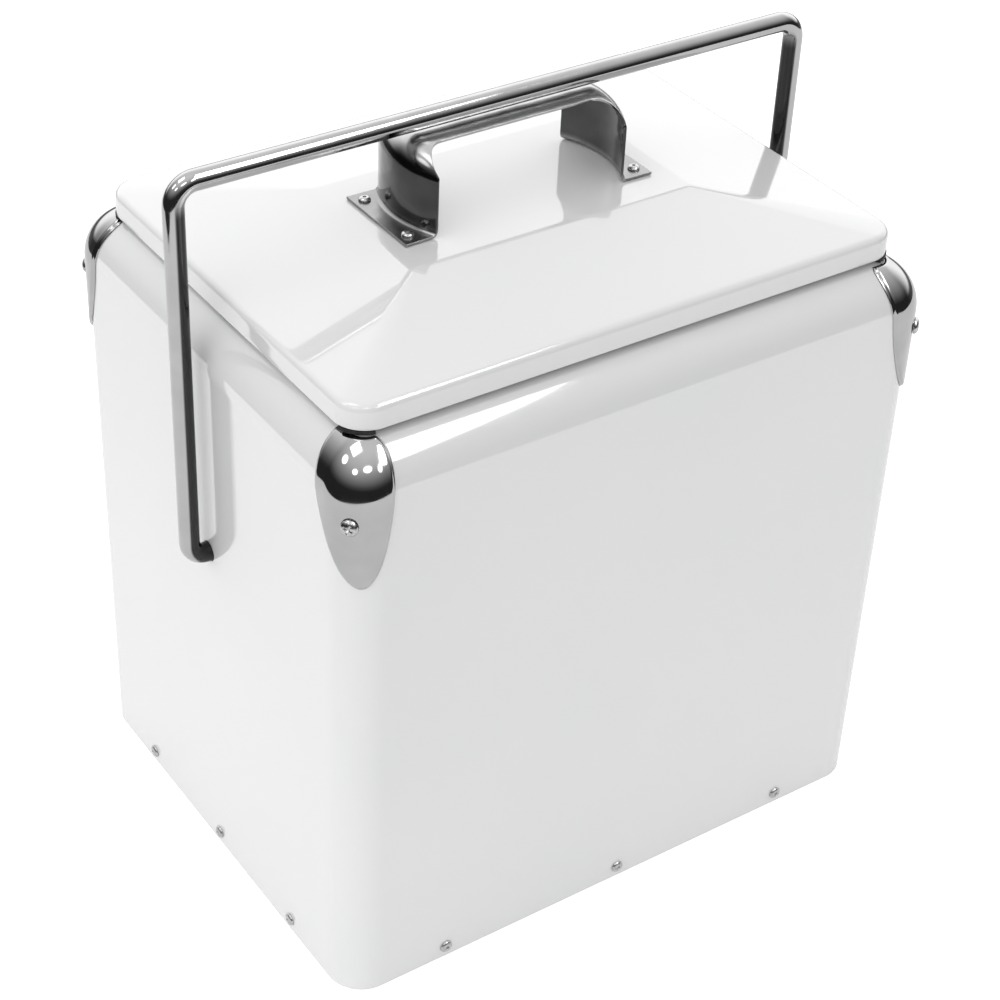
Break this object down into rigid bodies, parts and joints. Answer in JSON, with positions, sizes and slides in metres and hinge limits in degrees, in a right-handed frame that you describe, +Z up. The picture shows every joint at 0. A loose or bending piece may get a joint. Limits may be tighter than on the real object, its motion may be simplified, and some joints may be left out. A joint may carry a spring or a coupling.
{
  "type": "icebox",
  "caption": "Portable picnic ice chest: enamelled steel cabinet, lift-off hipped lid with a strap handle, chrome corner caps and a swinging bail handle.",
  "frame": {"origin": "centre of the cabinet's footprint, on the surface it stands on", "axes": "+Z up, X along the long side with the bail's pivots at both ends, -Y out of the front long face"},
  "size_m": [0.3382, 0.2522, 0.3798],
  "materials": {
    "white_enamel": "glossy white enamel",
    "chrome": "bright chrome plate",
    "polished_stainless": "polished stainless sheet",
    "fixing_steel": "bright rivets and screws",
    "zinc_plate": "dull zinc plate",
    "liner_plastic": "satin moulded plastic",
    "gasket_rubber": "matt black rubber",
    "nylon": "natural nylon",
    "insulation_foam": "rigid polyurethane foam"
  },
  "bodies": {
    "cabinet": {"base_pan": "white_enamel", "base_rivet_back_1": "fixing_steel", "base_rivet_back_2": "fixing_steel", "base_rivet_back_3": "fixing_steel", "base_rivet_front_1": "fixing_steel", "base_rivet_front_2": "fixing_steel", "base_rivet_front_3": "fixing_steel", "base_rivet_left_1": "fixing_steel", "base_rivet_left_2": "fixing_steel", "base_rivet_left_3": "fixing_steel", "base_rivet_right_1": "fixing_steel", "base_rivet_right_2": "fixing_steel", "base_rivet_right_3": "fixing_steel", "cabinet_insulation": "insulation_foam", "cap_screw_back_left": "fixing_steel", "cap_screw_back_right": "fixing_steel", "cap_screw_front_left": "fixing_steel", "cap_screw_front_right": "fixing_steel", "corner_cap_back_left": "chrome", "corner_cap_back_right": "chrome", "corner_cap_front_left": "chrome", "corner_cap_front_right": "chrome", "inner_liner": "liner_plastic", "outer_shell": "white_enamel", "pivot_bush_left": "nylon", "pivot_bush_right": "nylon", "pivot_plate_left": "zinc_plate", "pivot_plate_right": "zinc_plate"},
    "lid": {"lid_gasket": "gasket_rubber", "lid_insulation": "insulation_foam", "lid_liner": "liner_plastic", "lid_skin": "white_enamel", "lid_strap_handle": "polished_stainless", "strap_backing_plate_left": "zinc_plate", "strap_backing_plate_right": "zinc_plate", "strap_rivet_back_left": "fixing_steel", "strap_rivet_back_right": "fixing_steel", "strap_rivet_front_left": "fixing_steel", "strap_rivet_front_right": "fixing_steel"},
    "bail": {"bail_handle": "chrome", "pivot_clip_left": "zinc_plate", "pivot_clip_right": "zinc_plate", "pivot_washer_left": "zinc_plate", "pivot_washer_right": "zinc_plate"}
  },
  "joints": [
    {"name": "bail_swing", "type": "hinge", "parent": "cabinet", "child": "bail", "pos_m": [0, 0, 0.1845], "axis": [1, 0, 0], "range_deg": [0, 135.8]},
    {"name": "lid_lift", "type": "slide", "parent": "cabinet", "child": "lid", "axis": [0, 0, 1], "range_m": [0, 0.043]}
  ],
  "couplings": [
    {"joint": "lid_lift", "follows": "bail_swing", "m_per_rad": 0.018}
  ]
}
